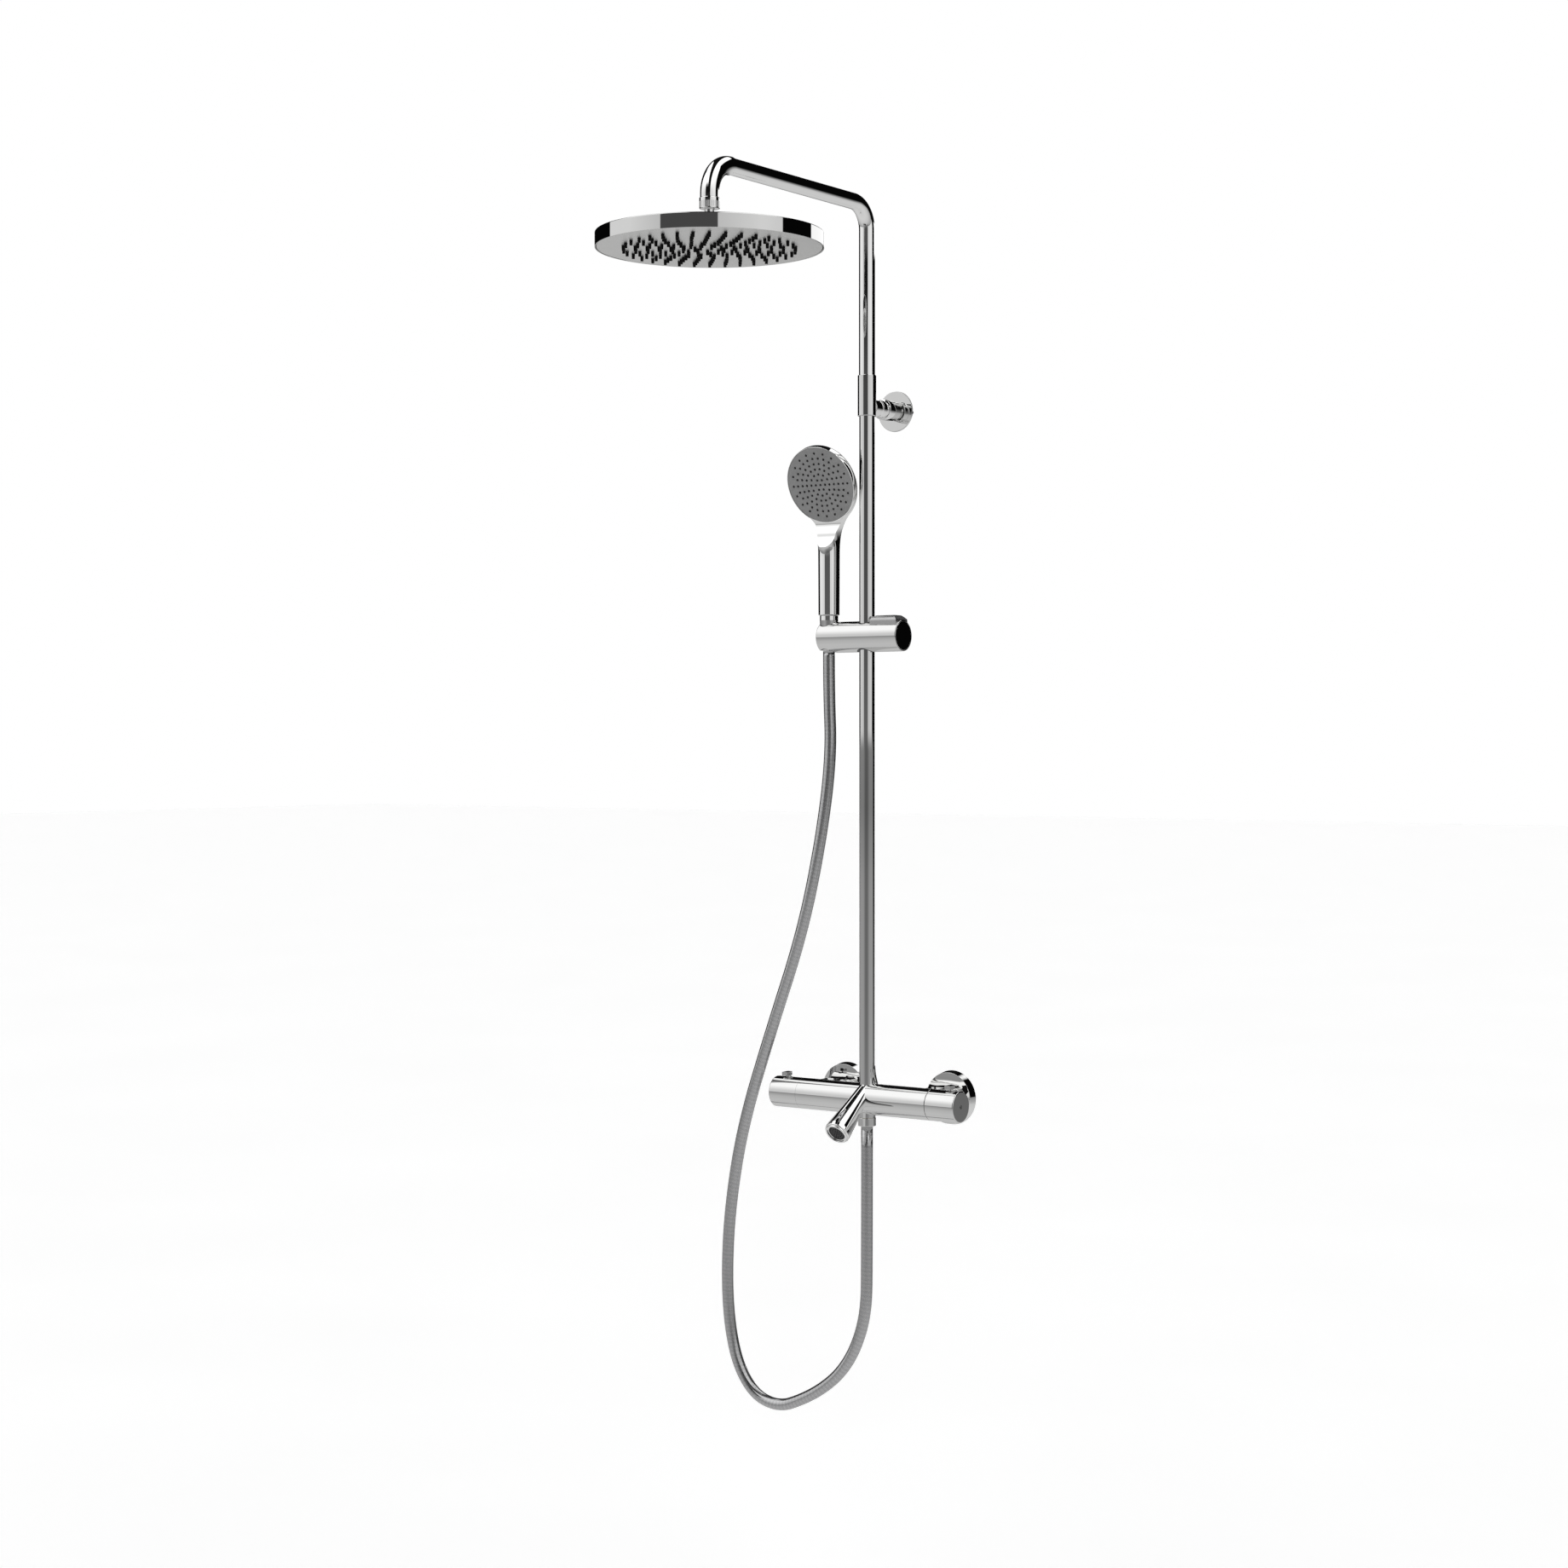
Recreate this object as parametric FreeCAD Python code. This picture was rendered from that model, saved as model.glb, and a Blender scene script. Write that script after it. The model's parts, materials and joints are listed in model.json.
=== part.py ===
import FreeCAD, Part
import math, os

# ---------------------------------------------------------------------------
# Rainfall shower column: thermostatic bar mixer with bath spout, riser, overhead
# arm with a round rain head, sliding holder, hand shower and hose.
# Millimetres.  +Z up, the wall is the plane Y = 0 and the column stands out to -Y,
# X = 0 is the riser, Z = 0 is the mixer bar's axis.
# ---------------------------------------------------------------------------
V = FreeCAD.Vector
os.makedirs("parts", exist_ok=True)

# ---- driving dimensions -----------------------------------------------------
AX_Y = -71.0            # riser axis and mixer axis, distance from the wall
INLET = 75.0            # half of the 150 mm inlet centres
BAR_R = 18.4            # mixer bar radius
BODY_X = 91.2           # mixer body half length
HANDLE_X0 = 91.7        # handle starts
HANDLE_X1 = 130.5       # handle ends
BUTTON_X = 115.5        # safety button position on each handle
BUTTON_Y = AX_Y + 2.2
RISER_R = 9.1           # lower riser radius
RISER_WALL = 1.5
PIPE_R = 9.5            # overhead pipe radius
PIPE_WALL = 1.5
SLEEVE_R = 10.9
SLEEVE_Z0, SLEEVE_Z1 = 805.8, 854.1
SLEEVE_STEP = 829.5     # lower riser ends here inside the sleeve
ARM_Z = 1055.2          # overhead arm axis height
BEND_R = 29.6           # riser to arm bend, centre line
REACH = 307.5           # riser axis to head axis
ELBOW_R = 36.5          # elbow centre line radius
ELBOW_OD_R = 10.4
HEAD_R = 125.0
HEAD_Z0, HEAD_Z1 = 959.3, 975.7
BALL_Z = 987.0
BALL_R = 9.5
BRACKET_Z = 817.1
ROSETTE_R = 30.3
ROSETTE_Y = -10.6       # rim of the mixer rosettes; the face crowns 0.9 mm further out
SLIDER_Z = 545.7
SLIDER_R = 18.3
SLIDER_X0, SLIDER_X1 = -61.5, 51.3
SEAT_X, SEAT_Y = -53.5, AX_Y - 1.5
SPOUT_DIR = V(0, -0.798, -0.602).normalize()
SPOUT_Z = 14.0          # the spout's axis meets the riser axis here
SPOUT_R, SPOUT_L = 15.3, 79.2
HANDSET_TILT = 20.4     # head face leans down by this many degrees
FACE_C = V(SEAT_X, AX_Y - 19.4, 726.0)
FACE_R = 47.3
HOSE_R = 7.0
G12_R = 10.48           # G 1/2 thread, outside radius
G34_R = 13.2            # G 3/4 thread, outside radius
HEAD_Y = AX_Y - REACH

# route of the hose: nut under the holder, down and round, up to the outlet nut
HOSE = [(-53.5, -1.5, 530.0), (-53.5, -1.5, 479.8), (-49.4, -2.5, 404.7), (-59.9, -8.4, 306.2),
        (-84.6, -12.4, 193.2), (-130.2, -14.7, 71.2), (-169.7, -16.5, -42.0), (-188.3, -17.2, -140.3),
        (-193.3, -17.7, -221.1), (-190.4, -16.5, -284.8), (-180.1, -12.8, -335.5), (-156.5, -10.0, -369.3),
        (-121.5, -8.0, -378.8), (-89.4, -6.4, -366.1), (-60.1, -5.2, -349.1), (-34.3, -3.8, -327.0),
        (-14.6, -1.9, -296.6), (-1.4, -0.1, -253.9), (0.0, 0.0, -199.1), (0.0, 0.0, -31.7)]
HOSE = [V(x, AX_Y + y, z) for x, y, z in HOSE]

parts = {}


# ---- helpers ------------------------------------------------------------------
def rounded(pts):
    """Closed wire through (u, v[, r]) corners in the XZ plane, corners rounded by r."""
    n = len(pts)
    seg = []
    for i in range(n):
        p = V(pts[i][0], 0, pts[i][1])
        r = pts[i][2] if len(pts[i]) > 2 else 0
        a = V(pts[i - 1][0], 0, pts[i - 1][1])
        b = V(pts[(i + 1) % n][0], 0, pts[(i + 1) % n][1])
        if r <= 0:
            seg.append((p, None, p))
            continue
        u = (a - p).normalize()
        w = (b - p).normalize()
        half = u.getAngle(w) / 2
        d = r / math.tan(half)
        c = p + (u + w).normalize() * (r / math.sin(half))
        mid = c + (p - c).normalize() * r
        seg.append((p + u * d, mid, p + w * d))
    edges = []
    for i in range(n):
        s, m, e = seg[i]
        if m is not None:
            edges.append(Part.Arc(s, m, e).toShape())
        nx = seg[(i + 1) % n][0]
        if (nx - e).Length > 1e-6:
            edges.append(Part.LineSegment(e, nx).toShape())
    return Part.Wire(edges)


def rev_z(pts, x=0.0, y=0.0):
    """Revolve (radius, z) corners about the vertical axis through x, y."""
    s = Part.Face(rounded(pts)).revolve(V(0, 0, 0), V(0, 0, 1), 360)
    s.translate(V(x, y, 0))
    return s


def along(pts, origin, direction):
    """Revolve (radius, distance) corners about an axis through origin."""
    s = Part.Face(rounded(pts)).revolve(V(0, 0, 0), V(0, 0, 1), 360)
    s.Placement = FreeCAD.Placement(origin, FreeCAD.Rotation(V(0, 0, 1), direction))
    return s


def rev_x(pts, y=AX_Y, z=0.0):
    return along([(r, x) + tuple(q) for x, r, *q in pts], V(0, y, z), V(1, 0, 0))


def rev_y(pts, x=0.0, z=0.0):
    return along([(r, y) + tuple(q) for y, r, *q in pts], V(x, 0, z), V(0, 1, 0))


def cz(x, y, z0, z1, r):
    return Part.makeCylinder(r, z1 - z0, V(x, y, z0), V(0, 0, 1))


def cx(x0, x1, y, z, r):
    return Part.makeCylinder(r, x1 - x0, V(x0, y, z), V(1, 0, 0))


def cy(x, z, y0, y1, r):
    return Part.makeCylinder(r, y1 - y0, V(x, y0, z), V(0, 1, 0))


def box(x0, y0, z0, x1, y1, z1):
    return Part.makeBox(x1 - x0, y1 - y0, z1 - z0, V(x0, y0, z0))


def hexnut(af, y0, y1, x, z, bore):
    """Hexagon nut along Y with chamfered corners."""
    r = af / 2 / math.cos(math.radians(30))
    w = Part.makePolygon([V(r * math.cos(math.radians(60 * k)), 0, r * math.sin(math.radians(60 * k))) for k in range(7)])
    s = Part.Face(w).extrude(V(0, y1 - y0, 0))
    s.translate(V(x, y0, z))
    lim = rev_y([(y0, 0.01), (y0, af / 2 - 0.4), (y0 + 2.2, r + 0.6), (y1 - 2.2, r + 0.6), (y1, af / 2 - 0.4), (y1, 0.01)], x, z)
    return s.common(lim).cut(cy(x, z, y0 - 1, y1 + 1, bore))


def pipe(edges, r, start, direction):
    c = Part.Wire(Part.makeCircle(r, start, direction))
    return Part.Wire(edges).makePipeShell([c], True, False)


def save(name, shape, solids=1):
    if shape.ShapeType == "Compound" and len(shape.Solids) == 1:
        shape = shape.Solids[0]
    assert shape.isValid(), name
    assert len(shape.Solids) == solids, (name, len(shape.Solids))
    shape.exportStep("parts/%s.step" % name)
    parts[name] = shape


# ---- wall unions, rosettes, union nuts -----------------------------------------
nuts = []
for side, x in (("left", -INLET), ("right", INLET)):
    u = rev_y([(AX_Y + 34.1, 8.0), (AX_Y + 34.1, 12.8), (AX_Y + 37.0, 12.8), (AX_Y + 37.0, 11.0),
               (-0.4, 11.0), (0.0, G12_R), (13.2, G12_R), (14.0, 9.7), (14.0, 7.0), (AX_Y + 40, 7.0)], x)
    save("wall_union_" + side, u)
    # deep cup rosette, open to the wall
    save("wall_rosette_" + side, rev_y([(ROSETTE_Y - 0.9, 11.3, 0.3), (ROSETTE_Y - 0.7, 20.0, 240.0), (ROSETTE_Y, ROSETTE_R, 0.25), (0.0, ROSETTE_R + 1.7),
                                        (0.0, ROSETTE_R + 0.5), (ROSETTE_Y + 1.2, ROSETTE_R - 1.2), (ROSETTE_Y + 0.5, 19.6), (ROSETTE_Y + 0.3, 11.3)], x))
    n = hexnut(30.0, AX_Y + 22.5, AX_Y + 40.5, x, 0, 11.15)
    n = n.cut(cy(x, 0, AX_Y + 20, AX_Y + 37.1, G34_R + 0.05))
    nuts.append(n)
save("union_nuts", Part.makeCompound(nuts), 2)
washers = [rev_y([(AX_Y + 32.1, 8.4), (AX_Y + 32.1, 12.7), (AX_Y + 34.0, 12.7), (AX_Y + 34.0, 8.4)], x) for x in (-INLET, INLET)]
save("inlet_washers", Part.makeCompound(washers), 2)
filters = []
for x in (-INLET, INLET):
    f = rev_y([(AX_Y + 30.4, 0.5), (AX_Y + 27.0, 4.5), (AX_Y + 31.0, 7.8), (AX_Y + 31.9, 7.8), (AX_Y + 31.9, 6.8), (AX_Y + 28.4, 4.2), (AX_Y + 31.2, 0.5)], x)
    filters.append(f)
save("inlet_filters", Part.makeCompound(filters), 2)
valves = []
for x in (-INLET, INLET):
    valves.append(rev_y([(AX_Y + 19.0, 3.2), (AX_Y + 19.0, 7.6), (AX_Y + 26.5, 7.6), (AX_Y + 26.5, 3.2)], x))
save("check_valves", Part.makeCompound(valves), 2)

# ---- mixer body -------------------------------------------------------------------
body = rev_x([(-BODY_X, 0.0), (-BODY_X, BAR_R, 0.05), (BODY_X, BAR_R, 0.5), (BODY_X, 0.0)])
for x in (-INLET, INLET):
    body = body.fuse(rev_y([(AX_Y + 10, 0.0), (AX_Y + 10, 14.0), (AX_Y + 20.5, 14.0, 0.5), (AX_Y + 20.5, G34_R), (AX_Y + 31.4, G34_R), (AX_Y + 32.0, 12.6), (AX_Y + 32.0, 0.0)], x))
body = body.fuse(cz(0, AX_Y, -21.5, -10, 10.0))
body = body.cut(cx(38, BODY_X + 1, AX_Y, 0, 13.3)).cut(cx(-BODY_X - 1, -38, AX_Y, 0, 13.3)).cut(cx(-40, 40, AX_Y, 0, 9.0))
for x in (-INLET, INLET):
    body = body.cut(cy(x, 0, AX_Y + 5, AX_Y + 33, 7.8))
body = body.cut(cz(0, AX_Y, 12.0, 20, RISER_R + 0.02)).cut(cz(0, AX_Y, 0, 14, 6.5)).cut(cz(0, AX_Y, -24, 0, 5.5))
body = body.cut(Part.makeCylinder(5.5, 25, V(0, AX_Y, SPOUT_Z) + SPOUT_DIR * 9.0, SPOUT_DIR))
body = body.cut(cz(0, AX_Y, -22, -17.0, 8.6))
save("mixer_body", body)

# ---- riser foot, riser, sleeve ------------------------------------------------------
# curved gusset behind the riser's foot
foot = Part.makeLoft([Part.Wire(Part.makeCircle(r, V(0, AX_Y + d, z), V(0, 0, 1))) for z, d, r in
                      ((12.5, 6.4, 10.0), (19.0, 5.0, 9.9), (24.0, 3.4, 9.7), (31.0, 1.9, 9.4), (39.0, 1.0, 9.1))], True, False)
foot = foot.cut(cx(-30, 30, AX_Y, 0, BAR_R + 0.02)).cut(cz(0, AX_Y, 0, 50, RISER_R + 0.02))
save("riser_foot_collar", foot)
save("riser_lower", rev_z([(RISER_R - RISER_WALL, 12.6), (RISER_R, 12.6, 0.3), (RISER_R, SLEEVE_STEP - 0.3, 0.3), (RISER_R - RISER_WALL, SLEEVE_STEP - 0.3)], 0, AX_Y))
sleeve = rev_z([(RISER_R + 0.04, SLEEVE_Z0), (SLEEVE_R, SLEEVE_Z0, 0.7), (SLEEVE_R, SLEEVE_Z1, 0.7), (PIPE_R + 0.05, SLEEVE_Z1),
                (PIPE_R + 0.05, SLEEVE_STEP + 0.2), (8.2, SLEEVE_STEP + 0.2), (8.2, SLEEVE_STEP - 0.2), (RISER_R + 0.04, SLEEVE_STEP - 0.2)], 0, AX_Y)
sleeve = sleeve.cut(rev_z([(RISER_R - 0.2, 822.0), (10.15, 822.0), (10.15, 823.8), (RISER_R - 0.2, 823.8)], 0, AX_Y))
sleeve = sleeve.cut(rev_z([(RISER_R - 0.2, 812.0), (10.15, 812.0), (10.15, 813.8), (RISER_R - 0.2, 813.8)], 0, AX_Y))
save("riser_sleeve", sleeve)
rings = [rev_z([(9.16, z + 0.1), (10.1, z + 0.1), (10.1, z + 1.7), (9.16, z + 1.7)], 0, AX_Y) for z in (812.0, 822.0)]
save("sleeve_seals", Part.makeCompound(rings), 2)

# ---- upper wall bracket ----------------------------------------------------------------
stem = rev_y([(AX_Y + 8.0, 0.0), (AX_Y + 8.0, 9.4), (AX_Y + 20.8, 9.4, 0.3), (AX_Y + 21.6, 10.4, 0.5), (AX_Y + 29.4, 10.4, 0.7), (AX_Y + 30.0, 9.2, 0.2),
              (AX_Y + 31.6, 9.2, 0.2), (AX_Y + 32.3, 12.4, 0.6), (AX_Y + 48.0, 12.4, 0.4), (AX_Y + 48.5, 11.6, 0.2), (AX_Y + 56.8, 11.6, 0.5),
              (AX_Y + 57.2, 9.2), (AX_Y + 63.5, 9.2), (AX_Y + 63.5, 0.0)], 0, BRACKET_Z)
stem = stem.cut(cz(0, AX_Y, 790, 850, SLEEVE_R + 0.02)).cut(cy(0, BRACKET_Z, AX_Y + 44, AX_Y + 64, 6.05))
stem = stem.cut(cz(0, AX_Y + 51.5, BRACKET_Z - 14, BRACKET_Z - 4, 2.5))
save("bracket_stem", stem)
save("bracket_grub_screw", cz(0, AX_Y + 51.5, BRACKET_Z - 9.4, BRACKET_Z - 6.06, 2.45).cut(cz(0, AX_Y + 51.5, BRACKET_Z - 10, BRACKET_Z - 7.6, 1.2)))
plate = rev_y([(-20.5, 0.0), (-20.5, 6.0, 0.5), (-3.0, 6.0), (-3.0, 15.5, 0.4), (0.0, 15.5), (0.0, 0.0)], 0, BRACKET_Z)
for x in (-10.5, 10.5):
    plate = plate.cut(cy(x, BRACKET_Z, -4, 1, 2.3))
save("bracket_wall_plate", plate)
# thin front rim, dished back to the wall
save("bracket_rosette", rev_y([(AX_Y + 60.5, 9.35, 0.2), (AX_Y + 60.5, 24.2, 0.6), (AX_Y + 62.3, 24.2, 0.5), (AX_Y + 65.0, 20.5, 2), (-0.3, 18.6),
                               (-0.3, 17.2), (AX_Y + 64.6, 17.8, 1), (AX_Y + 62.0, 16.0, 0.5), (AX_Y + 62.0, 9.35)], 0, BRACKET_Z))
screws = []
for x in (-10.5, 10.5):
    s = rev_y([(-5.2, 0.0), (-5.2, 3.6, 0.6), (-3.02, 3.9), (-3.02, 2.2), (10.5, 2.2), (13.5, 0.3), (13.5, 0.0)], x, BRACKET_Z)
    s = s.cut(box(x - 2.6, -6, BRACKET_Z - 0.4, x + 2.6, -4.2, BRACKET_Z + 0.4)).cut(box(x - 0.4, -6, BRACKET_Z - 2.6, x + 0.4, -4.2, BRACKET_Z + 2.6))
    screws.append(s)
save("bracket_screws", Part.makeCompound(screws), 2)

# ---- overhead pipe, elbow, nut, ball -------------------------------------------------
s0 = V(0, AX_Y, SLEEVE_STEP + 1.2)
b0 = V(0, AX_Y, ARM_Z - BEND_R)
bm = V(0, AX_Y - BEND_R * (1 - math.cos(math.radians(45))), ARM_Z - BEND_R + BEND_R * math.sin(math.radians(45)))
b1 = V(0, AX_Y - BEND_R, ARM_Z)
e0 = V(0, HEAD_Y + ELBOW_R, ARM_Z)
path = [Part.LineSegment(s0, b0).toShape(), Part.Arc(b0, bm, b1).toShape(), Part.LineSegment(b1, e0).toShape()]
o = pipe(path, PIPE_R, s0, V(0, 0, 1))
i = pipe(path, PIPE_R - PIPE_WALL, s0, V(0, 0, 1))
save("overhead_pipe", o.cut(i))
em = V(0, HEAD_Y + ELBOW_R - ELBOW_R * math.sin(math.radians(45)), ARM_Z - ELBOW_R * (1 - math.cos(math.radians(45))))
e1 = V(0, HEAD_Y, ARM_Z - ELBOW_R)
e2 = V(0, HEAD_Y, 1014.6)
ep = [Part.Arc(e0, em, e1).toShape(), Part.LineSegment(e1, e2).toShape()]
el = pipe(ep, ELBOW_OD_R, e0, V(0, -1, 0)).cut(pipe(ep, 7.6, e0, V(0, -1, 0)))
save("arm_elbow", el)
nut = rev_z([(6.0, 1002.2), (11.3, 1002.2, 0.8), (11.3, 1014.4, 0.8), (9.0, 1014.4), (9.0, 1007.0), (6.0, 1007.0)], 0, HEAD_Y)
for k in range(36):
    a = math.radians(10 * k)
    nut = nut.cut(cz(11.75 * math.cos(a), HEAD_Y + 11.75 * math.sin(a), 1003.4, 1010.2, 0.62))
save("arm_nut", nut)
ball = Part.makeSphere(BALL_R, V(0, HEAD_Y, BALL_Z)).fuse(cz(0, HEAD_Y, BALL_Z, 1002.3, 5.5)).fuse(cz(0, HEAD_Y, 1002.0, 1008.0, 5.96)).fuse(cz(0, HEAD_Y, 1007.02, 1010.0, 8.9))
ball = ball.cut(cz(0, HEAD_Y, BALL_Z - 12, 1012, 3.6))
save("swivel_ball", ball)
save("arm_washer", rev_z([(6.6, 1010.1), (8.9, 1010.1), (8.9, 1012.4), (6.6, 1012.4)], 0, HEAD_Y))

# ---- ball seat ring (carries the ball joint's second axis) -----------------------------
ring = Part.makeSphere(12.0, V(0, HEAD_Y, BALL_Z)).cut(Part.makeSphere(BALL_R + 0.3, V(0, HEAD_Y, BALL_Z)))
ring = ring.common(cz(0, HEAD_Y, BALL_Z - 5.5, BALL_Z + 5.5, 13))
save("ball_seat_ring", ring)

# ---- rain head ------------------------------------------------------------------------------
shell = rev_z([(5.0, 973.6), (122.9, 973.6), (123.4, HEAD_Z0 + 2.2), (124.0, HEAD_Z0, 0.3), (HEAD_R, HEAD_Z0, 0.35), (HEAD_R, HEAD_Z1, 1.0), (60.0, 976.6, 20),
               (26.0, 978.4, 6), (22.0, 982.6, 1.5), (15.0, 982.6), (15.0, 987.0), (5.0, 987.0)], 0, HEAD_Y)
shell = shell.cut(Part.makeSphere(12.3, V(0, HEAD_Y, BALL_Z)))
save("rain_head_shell", shell)
collar = rev_z([(15.05, 982.9), (17.6, 982.9, 0.5), (17.6, 988.5, 1.0), (12.6, 995.0, 0.8), (0.0, 995.0), (0.0, 987.05), (15.05, 987.05)], 0, HEAD_Y)
collar = collar.cut(Part.makeSphere(12.3, V(0, HEAD_Y, BALL_Z)))
save("ball_socket_collar", collar)
RINGS = [(16, 8), (29, 13), (42, 18), (55, 22), (68, 26), (81, 30), (94, 34)]
holes = []
for k, (r, n) in enumerate(RINGS):
    for j in range(n):
        a = 2 * math.pi * (j + 0.5 * (k % 2)) / n
        holes.append((r * math.cos(a), HEAD_Y + r * math.sin(a)))
plate = rev_z([(0.0, HEAD_Z0 + 0.5), (123.3, HEAD_Z0 + 0.5, 0.4), (122.9, HEAD_Z0 + 2.1), (0.0, HEAD_Z0 + 2.1)], 0, HEAD_Y)
plate = plate.cut(Part.makeCompound([cz(x, y, HEAD_Z0 - 1, HEAD_Z0 + 4, 2.05) for x, y in holes]))
save("rain_head_face", plate)
bumps = [Part.makeCone(1.95, 1.65, 7.0, V(x, y, HEAD_Z0 + 2.4), V(0, 0, -1)) for x, y in holes]
sheet = rev_z([(0.0, HEAD_Z0 + 2.15), (108.0, HEAD_Z0 + 2.15), (108.0, HEAD_Z0 + 3.4), (0.0, HEAD_Z0 + 3.4)], 0, HEAD_Y)
save("rain_head_nozzles", sheet.fuse(bumps))

# ---- bath spout -----------------------------------------------------------------------------
O = V(0, AX_Y, SPOUT_Z)
L = SPOUT_L
spout = along([(6.05, 2.0), (8.1, 2.0), (9.9, 20.0), (SPOUT_R, L - 5.0, 12), (SPOUT_R, L, 1.3), (13.75, L, 0.3), (13.75, L - 13.6), (6.05, L - 17.6)], O, SPOUT_DIR)
spout = spout.cut(cz(0, AX_Y, 8, 60, RISER_R + 0.02)).cut(cx(-40, 40, AX_Y, 0, BAR_R + 0.02)).cut(cz(0, AX_Y, -32, -8, 10.9))
save("bath_spout", spout)
save("aerator_ring", along([(10.4, L - 9.0), (13.7, L - 9.0), (13.7, L + 1.9, 1.2), (11.6, L + 1.9, 0.7), (11.1, L - 0.6), (10.4, L - 0.6)], O, SPOUT_DIR))
ins = along([(0.0, L - 6.6), (10.35, L - 6.6), (10.35, L - 1.0, 0.3), (0.0, L - 1.0)], O, SPOUT_DIR)
rot = FreeCAD.Rotation(V(0, 0, 1), SPOUT_DIR)
jets = []
for r, n in ((0, 1), (2.9, 6), (5.8, 12), (8.7, 18)):
    for j in range(n):
        a = 2 * math.pi * j / n
        jets.append(Part.makeCylinder(0.85, 8, O + rot.multVec(V(r * math.cos(a), r * math.sin(a), L - 8.0)), SPOUT_DIR))
save("aerator_insert", ins.cut(Part.makeCompound(jets)))

# ---- hose outlet ---------------------------------------------------------------------------
save("shower_outlet_nipple", rev_z([(5.0, -17.05), (8.55, -17.05), (8.55, -21.7), (9.0, -21.7), (9.0, -27.2, 0.5), (5.0, -27.2)], 0, AX_Y))
hn = rev_z([(5.6, -31.7), (10.6, -31.7, 0.8), (10.6, -21.75, 0.8), (9.06, -21.75), (9.06, -29.3), (5.6, -29.3)], 0, AX_Y)
save("hose_end_nut", hn)
save("outlet_washer", rev_z([(5.6, -29.25), (9.0, -29.25), (9.0, -27.3), (5.6, -27.3)], 0, AX_Y))

# ---- handles, spindles, buttons, cartridges ------------------------------------------------
for name, s in (("flow", -1), ("temperature", 1)):
    def X(pts):
        return rev_x([(s * p[0],) + tuple(p[1:]) for p in pts])
    x0, edge = (HANDLE_X0, 0.5) if s > 0 else (BODY_X + 0.12, 0.05)
    h = X([(x0, 15.6), (x0, BAR_R, edge), (HANDLE_X1, BAR_R, 1.3), (HANDLE_X1, 2.3), (HANDLE_X1 - 7, 2.3), (HANDLE_X1 - 7, 4.05),
           (101.0, 4.05), (101.0, 8.0), (HANDLE_X1 - 5, 8.0), (HANDLE_X1 - 5, 15.6)])
    boss = rev_z([(2.7, 12.0), (5.0, 12.0), (7.6, 16.4), (4.7, 17.9, 1.0), (3.9, 18.6, 0.2), (2.7, 18.6)], s * BUTTON_X, BUTTON_Y)
    boss = boss.cut(cx(-140, 140, AX_Y, 0, 15.7))
    h = h.fuse(boss).cut(cz(s * BUTTON_X, BUTTON_Y, 10.0, 24, 2.7))
    save(name + "_handle", h)
    # ribbed thumb tab
    head = Part.Face(rounded([(-3.7, 19.7, 0.4), (3.7, 19.7, 0.4), (3.7, 24.4, 0.8), (-3.7, 24.4, 0.8)])).extrude(V(0, 11.0, 0))
    head.translate(V(s * BUTTON_X, AX_Y - 6.0, 0))
    for k in range(4):
        head = head.cut(cz(s * BUTTON_X - 2.76 + 1.84 * k, AX_Y - 6.25, 19, 25, 0.62))
    for k in range(6):
        for q in (-1, 1):
            head = head.cut(cz(s * BUTTON_X + q * 3.95, AX_Y - 5.0 + 1.84 * k, 19, 25, 0.62))
    b = head.fuse(cz(s * BUTTON_X, BUTTON_Y, 13.0, 21.5, 2.64))
    save(name + "_stop_button", b)
    save(name + "_stop_spring", rev_z([(2.0, 8.1), (3.2, 8.1), (3.2, 12.95), (2.0, 12.95)], s * BUTTON_X, BUTTON_Y).cut(cx(-140, 140, AX_Y, 0, 8.05)))
    save(name + "_handle_screw", X([(HANDLE_X1 - 7.2, 0.0), (HANDLE_X1 - 7.2, 2.2), (HANDLE_X1 - 3.6, 2.2, 0.3), (HANDLE_X1 - 3.6, 1.2), (HANDLE_X1 - 5.4, 1.2), (HANDLE_X1 - 5.4, 0.0)]))
    save(name + "_spindle", X([(74.0, 0.0), (74.0, 4.0), (HANDLE_X1 - 7.4, 4.0, 0.3), (HANDLE_X1 - 7.4, 0.0)]))
    cart = X([(40.0, 5.0), (40.0, 11.5), (46.0, 13.1, 0.5), (90.2, 13.1, 0.4), (90.2, 10.0), (97.0, 10.0, 0.4), (97.0, 4.05), (73.5, 4.05), (73.5, 5.0)])
    cart = cart.cut(X([(58.0, 12.0), (58.0, 14.0), (64.0, 14.0), (64.0, 12.0)]))
    save({"flow": "flow_diverter_cartridge", "temperature": "thermostatic_cartridge"}[name], cart)

# ---- slider -------------------------------------------------------------------------------------
Z = SLIDER_Z
slider = rev_x([(SLIDER_X0, 0.0), (SLIDER_X0, SLIDER_R, 1.2), (SLIDER_X1, SLIDER_R, 0.8), (SLIDER_X1, 0.0)], AX_Y, Z)
seat_z0, seat_z1 = Z - 20.0, Z + 20.0


def seat_cone(extra):
    """Tapered seat for the hose nut, radius grows upward."""
    return Part.makeCone(9.45 + extra, 11.35 + extra, seat_z1 - seat_z0, V(SEAT_X, SEAT_Y, seat_z0), V(0, 0, 1))


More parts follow.
